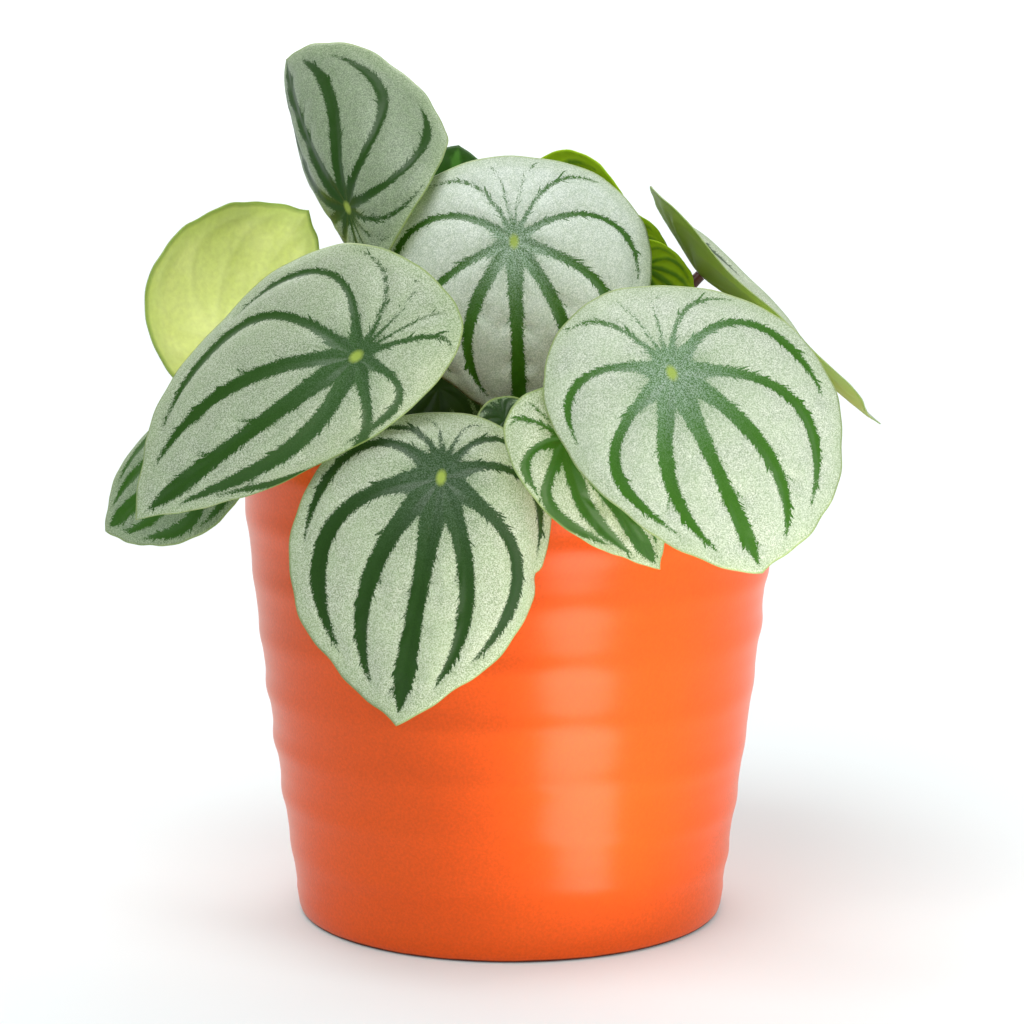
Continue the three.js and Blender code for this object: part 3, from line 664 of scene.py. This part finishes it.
def make_blade(leaf, seed, skins):
    """One blade: a grid rolled into a disc round the navel, curved, quilted between veins and thickened."""
    rng = random.Random(seed)
    sectors, rings = (180, 46) if leaf["long"] > LARGE_LEAF else (110, 28)
    deselect()
    bpy.ops.mesh.primitive_grid_add(x_subdivisions=sectors, y_subdivisions=rings, size=1)
    blade = bpy.context.object
    blade.name = "blade_" + leaf["name"]
    grid = positions(blade)
    turned = 2 * math.pi * (grid[:, 0] + 0.5) - math.pi
    share = grid[:, 1] + 0.5
    t = turned - 0.35 * np.sin(turned)
    edge_x, edge_y = margin(leaf, t)
    size = leaf["long"] / FULL_SIZE
    phases = [rng.uniform(0, 6.28) for _ in range(4)]
    frill = 1 + 0.008 * np.sin(5 * t + phases[0]) + 0.006 * np.sin(11 * t + phases[1])
    frill = frill + 0.003 * np.sin(23 * t + phases[2])
    if leaf["name"] in TORN:
        place, breadth, depth = TORN[leaf["name"]]
        frill = frill - depth * np.exp(-((t - place) / breadth) ** 2)
    ruffle = 1 + (frill - 1) * share ** 3
    x, y = share * edge_x * ruffle, share * edge_y * ruffle

    # What the skin needs to know of each point: its place among the stripes, from the margin and the navel.
    # The stripes run together at the navel, and the green haze there widens them.
    width, haze_reach, dust_and_sheen_share, *tone = LOOKS.get(leaf["name"], USUAL_LOOK)
    inside, near_vein, along, signed, number = vein_fields(leaf, width, x, y, rng)
    from_margin = (1 - share) * np.hypot(edge_x, edge_y)
    from_navel = np.hypot(x, y)
    to_tip = np.cos(np.arctan2(x, y))
    haze = np.exp(-(from_navel / (haze_reach * size * (0.75 + 0.25 * to_tip))) ** 2)
    inside = inside + 1.2 * size * np.exp(-from_navel / (3.5 * size))
    inside = inside + 0.16 * min(haze_reach, 15) * size * haze ** 2
    dust_and_sheen = dust_and_sheen_share * np.exp(-(from_navel / (15 * size)) ** 2)
    spot = np.hypot(x, y * 0.65) + (5 if haze_reach > FULL_HAZE else 0)

    points = blade_points(leaf, x, y)
    step = 0.25
    normal = np.cross(blade_points(leaf, x + step, y) - blade_points(leaf, x - step, y),
                      blade_points(leaf, x, y + step) - blade_points(leaf, x, y - step))
    normal /= np.linalg.norm(normal, axis=1)[:, None]
    swell = QUILTS.get(leaf["name"], USUAL_QUILT) * size
    quilt = swell * (1 - np.exp(-(near_vein / (3.2 * size)) ** 2)) * np.clip(from_margin / (6 * size), 0, 1)
    groove = 0.55 * swell * np.exp(-(near_vein / (1.3 * size)) ** 2) * np.clip(from_margin / (4 * size), 0, 1)
    waves = 0.7 * size * share ** 4 * (np.sin(3 * t + phases[3]) + 0.5 * np.sin(7 * t + phases[0]))
    points = points + normal * (quilt - groove + waves)[:, None]
    move_to(blade, points * MM)

    numbers = {"stripe": inside, "rib": near_vein, "edge": from_margin,
               "navel": spot, "haze": haze, "dust_and_sheen": dust_and_sheen}
    for name, values in numbers.items():
        attribute = blade.data.attributes.new(name, "FLOAT", "POINT")
        attribute.data.foreach_set("value", values.astype(np.float32))
    off = np.abs(signed)
    comb = np.stack([along - 1.5 * off, np.sign(signed) * 5 + number * 3.7, off * 0.25], axis=1)
    for name, values in (("tone", np.tile(tone, len(x))), ("comb", comb.ravel())):
        attribute = blade.data.attributes.new(name, "FLOAT_VECTOR", "POINT")
        attribute.data.foreach_set("vector", values.astype(np.float32))

    thin = blade.vertex_groups.new(name="thickness")
    near_margin = from_margin < THIN_MARGIN
    for i in np.nonzero(near_margin)[0]:
        thin.add([int(i)], 0.45 + 0.55 * from_margin[i] / THIN_MARGIN, "REPLACE")
    thin.add([int(i) for i in np.nonzero(~near_margin)[0]], 1.0, "REPLACE")
    bpy.ops.object.mode_set(mode="EDIT")
    bpy.ops.mesh.select_all(action="SELECT")
    bpy.ops.mesh.remove_doubles(threshold=0.00001)
    bpy.ops.mesh.normals_make_consistent(inside=False)
    bpy.ops.object.mode_set(mode="OBJECT")
    up = blade_axes(leaf)[2]
    if sum(face.normal.dot(up) * face.area for face in blade.data.polygons) < 0:
        bpy.ops.object.mode_set(mode="EDIT")
        bpy.ops.mesh.flip_normals()
        bpy.ops.object.mode_set(mode="OBJECT")
    blade.data.materials.clear()
    for skin in skins:
        blade.data.materials.append(skin)
    flesh = blade.modifiers.new("flesh", "SOLIDIFY")
    flesh.thickness = BLADE_THICKNESS * MM
    flesh.offset = 0
    flesh.vertex_group = "thickness"
    flesh.material_offset = 1
    flesh.material_offset_rim = 0
    bpy.ops.object.modifier_apply(modifier=flesh.name)
    bpy.ops.object.shade_smooth()
    return blade


def field(tree, name, output="Fac"):
    """An attribute of the blade."""
    return add_node(tree, "Attribute", {}, attribute_name=name).outputs[output]


# Upper side of a grown leaf: waxy green under a film of air that looks silver, in grains of about 0.4 mm.
# The film stops at the stripes in a fine comb that points to the tip, and thins to green at the margin.
upper, tree, shader = new_material("silver_upper_side", Roughness=0.4, IOR=1.42, Specular_IOR_Level=0.38)
place = add_node(tree, "TexCoord", {}).outputs["Object"]
tone = add_node(tree, "SeparateXYZ", {0: field(tree, "tone", "Vector")})
shade_grey, deep, pale = tone.outputs["X"], tone.outputs["Y"], tone.outputs["Z"]
hairs = {"Vector": field(tree, "comb", "Vector"), "Scale": 2.4, "Detail": 3.0, "Roughness": 0.65}
comb = add_node(tree, "TexNoise", hairs)
ragged = add_node(tree, "Math", {0: comb, 1: 1.3, 2: -0.65}, operation="MULTIPLY_ADD")
tufts = add_node(tree, "TexNoise", {**hairs, "Scale": 0.8, "Detail": 1.0})
spike = add_node(tree, "MapRange", {0: tufts, 1: 0.58, 2: 0.8, 3: 0.0, 4: 1.4})
fray = add_node(tree, "TexNoise", {"Vector": place, "Scale": 2600.0, "Detail": 1.0})
frayed = add_node(tree, "Math", {0: fray, 1: 1.5, 2: -0.75}, operation="MULTIPLY_ADD")
reach = add_node(tree, "Math", {0: field(tree, "stripe"), 1: ragged}, operation="ADD")
reach = add_node(tree, "Math", {0: reach, 1: spike}, operation="ADD")
reach = add_node(tree, "Math", {0: reach, 1: frayed}, operation="ADD")
stripe = add_node(tree, "MapRange", {0: reach, 1: -0.2, 2: 0.2})
grain = add_node(tree, "TexNoise", {"Vector": place, "Scale": 3400.0, "Detail": 2.0, "Roughness": 0.6})
blotch = add_node(tree, "TexNoise", {"Vector": place, "Scale": 130.0, "Detail": 3.0})
film = add_node(tree, "MapRange", {0: grain, 1: 0.4, 2: 0.62})
silver = add_node(tree, "Mix", {0: film, 6: "#859475", 7: "#CDD5C1"}, data_type="RGBA")
tinted = add_node(tree, "MapRange", {0: blotch, 1: 0.38, 2: 0.68, 3: 0.0, 4: 0.3})
silver = add_node(tree, "Mix", {0: tinted, 6: silver, 7: "#A9BF93"}, data_type="RGBA")
# Greyed, darker silver for leaves that face away from the light or lie under others: painted shade.
shaded_silver = add_node(tree, "Mix", {0: film, 6: "#64765A", 7: "#9AAA8E"}, data_type="RGBA")
silver = add_node(tree, "Mix", {0: shade_grey, 6: silver, 7: shaded_silver}, data_type="RGBA")
# Paler, bluish silver on the domes of the top leaves: a painted sheen from the overhead light.
painted_sheen = add_node(tree, "Mix", {0: film, 6: "#BCCBC2", 7: "#E6EDE8"}, data_type="RGBA")
silver = add_node(tree, "Mix", {0: pale, 6: silver, 7: painted_sheen}, data_type="RGBA")
net = add_node(tree, "TexVoronoi", {"Vector": place, "Scale": 240.0}, feature="DISTANCE_TO_EDGE")
thread = add_node(tree, "MapRange", {0: net, 1: 0.0, 2: 0.12, 3: 0.16, 4: 0.0})
silver = add_node(tree, "Mix", {0: thread, 6: silver, 7: "#7F9C6C"}, data_type="RGBA")
band = add_node(tree, "MapRange", {0: field(tree, "edge"), 1: 0.4, 2: 5.0, 3: 0.4, 4: 0.0})
pale_edge = add_node(tree, "Mix", {0: film, 6: "#869E6C", 7: "#B4C69E"}, data_type="RGBA")
silver = add_node(tree, "Mix", {0: band, 6: silver, 7: pale_edge}, data_type="RGBA")
patchy = add_node(tree, "MapRange", {0: grain, 1: 0.38, 2: 0.62, 3: 1.25, 4: 0.55})
hazy = add_node(tree, "Math", {0: field(tree, "haze"), 1: patchy}, operation="MULTIPLY")
hazy = add_node(tree, "Math", {0: hazy, 1: 0.85}, operation="MULTIPLY", use_clamp=True)
shade = add_node(tree, "Mix", {0: deep, 6: "#567F46", 7: "#3A6030"}, data_type="RGBA")
silver = add_node(tree, "Mix", {0: hazy, 6: silver, 7: shade}, data_type="RGBA")
bright_green = add_node(tree, "Mix", {0: grain, 6: "#295B0A", 7: "#437718"}, data_type="RGBA")
deep_green = add_node(tree, "Mix", {0: grain, 6: "#113003", 7: "#244A0C"}, data_type="RGBA")
green = add_node(tree, "Mix", {0: deep, 6: bright_green, 7: deep_green}, data_type="RGBA")
# A pale bluish dusting on the stripes round the navel: partly silver dust, partly painted sheen.
sparse = add_node(tree, "MapRange", {0: grain, 1: 0.42, 2: 0.62, 3: 0.15, 4: 1.3})
dust_and_sheen_mask = add_node(tree, "Math", {0: field(tree, "dust_and_sheen"), 1: sparse}, operation="MULTIPLY")
green = add_node(tree, "Mix", {0: dust_and_sheen_mask, 6: green, 7: "#A9BDAF"}, data_type="RGBA")
color = add_node(tree, "Mix", {0: stripe, 6: silver, 7: green}, data_type="RGBA")
rim = add_node(tree, "MapRange", {0: field(tree, "edge"), 1: 0.2, 2: 0.65, 3: 0.8, 4: 0.0})
rim_color = add_node(tree, "Mix", {0: blotch, 6: "#5C8030", 7: "#A3B26C"}, data_type="RGBA")
color = add_node(tree, "Mix", {0: rim, 6: color, 7: rim_color}, data_type="RGBA")
spot = add_node(tree, "MapRange", {0: field(tree, "navel"), 1: 0.7, 2: 1.6, 3: 0.9, 4: 0.0})
color = add_node(tree, "Mix", {0: spot, 6: color, 7: "#96AC48"}, data_type="RGBA")
pucker = add_node(tree, "Bump", {"Height": blotch, "Distance": 0.0007, "Strength": 0.6})
skin = {"Height": grain, "Distance": 0.00005, "Strength": 0.6, "Normal": pucker}
bump = add_node(tree, "Bump", skin)
feed(tree, shader, {"Base Color": color, "Normal": bump})

# Underside: matte, pale lime and a little translucent, with the veins as faint paler ribs. It is darker on a
# leaf given a deep tone, and greener towards the margin: a thin rim line, and a wider band of painted shade
# where the blade curves away.
under, tree, shader = new_material("lime_underside", Roughness=0.55, Subsurface_Weight=0.5,
                                    Subsurface_Scale=MM, Subsurface_Radius=(1, 1, 0.6))
place = add_node(tree, "TexCoord", {}).outputs["Object"]
cell = add_node(tree, "TexNoise", {"Vector": place, "Scale": 700.0, "Detail": 3.0})
flush = add_node(tree, "TexNoise", {"Vector": place, "Scale": 70.0})
lime = add_node(tree, "Mix", {0: flush, 6: "#D6E47A", 7: "#EAF2A8"}, data_type="RGBA")
fine = add_node(tree, "MapRange", {0: cell, 1: 0.3, 2: 0.7, 3: 0.93, 4: 1.05})
lime = add_node(tree, "Mix", {0: 1.0, 6: lime, 7: fine}, data_type="RGBA", blend_type="MULTIPLY")
rib = add_node(tree, "MapRange", {0: field(tree, "rib"), 1: 0.2, 2: 1.4, 3: 0.15, 4: 0.0})
color = add_node(tree, "Mix", {0: rib, 6: lime, 7: "#DCE6A0"}, data_type="RGBA")
deep = add_node(tree, "SeparateXYZ", {0: field(tree, "tone", "Vector")}).outputs["Y"]
# Darker on leaves given a deep tone.
deepened = add_node(tree, "MapRange", {0: deep, 1: 0.4, 2: 1.0})
color = add_node(tree, "Mix", {0: deepened, 6: color, 7: "#8EAA44"}, data_type="RGBA")
# A wider darker green band towards the margin: painted shade where the blade curves away from the light.
band = add_node(tree, "MapRange", {0: field(tree, "edge"), 1: 0.5, 2: 7.0, 3: 0.35, 4: 0.0})
color = add_node(tree, "Mix", {0: band, 6: color, 7: "#93B03C"}, data_type="RGBA")
rim = add_node(tree, "MapRange", {0: field(tree, "edge"), 1: 0.3, 2: 1.6, 3: 0.7, 4: 0.0})
color = add_node(tree, "Mix", {0: rim, 6: color, 7: "#6E9020"}, data_type="RGBA")
bump = add_node(tree, "Bump", {"Height": cell, "Distance": 0.0001, "Strength": 0.6})
feed(tree, shader, {"Base Color": color, "Normal": bump})

# Upper side of a young leaf, before the silver film has formed: soft lime green, darker over the veins.
young, tree, shader = new_material("young_upper_side", Roughness=0.6, Specular_IOR_Level=0.1,
                                   Subsurface_Weight=0.3, Subsurface_Scale=MM, Subsurface_Radius=(1, 1, 0.6))
place = add_node(tree, "TexCoord", {}).outputs["Object"]
cell = add_node(tree, "TexNoise", {"Vector": place, "Scale": 500.0, "Detail": 3.0})
fresh = add_node(tree, "Mix", {0: cell, 6: "#AAD810", 7: "#C6E83C"}, data_type="RGBA")
deep = add_node(tree, "SeparateXYZ", {0: field(tree, "tone", "Vector")}).outputs["Y"]
# Dark green mixed in by the deep tone. On dark_top, under the top leaves, it is painted shade.
grown = add_node(tree, "Mix", {0: deep, 6: fresh, 7: "#1E4602"}, data_type="RGBA")
reach = add_node(tree, "Math", {0: field(tree, "stripe"), 1: cell}, operation="ADD")
stripe = add_node(tree, "MapRange", {0: reach, 1: 0.1, 2: 0.9, 3: 0.0, 4: 0.8})
color = add_node(tree, "Mix", {0: stripe, 6: grown, 7: "#3E7022"}, data_type="RGBA")
feed(tree, shader, {"Base Color": color})

for seed, row in enumerate(LEAVES):
    node = "leaf_" + row["name"]
    tender = any(word in node for word in ("lime_top", "young", "dark"))
    blade = make_blade(row, seed + 1, (young, young) if tender else (upper, under))
    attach(blade, "root")
    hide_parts(node)
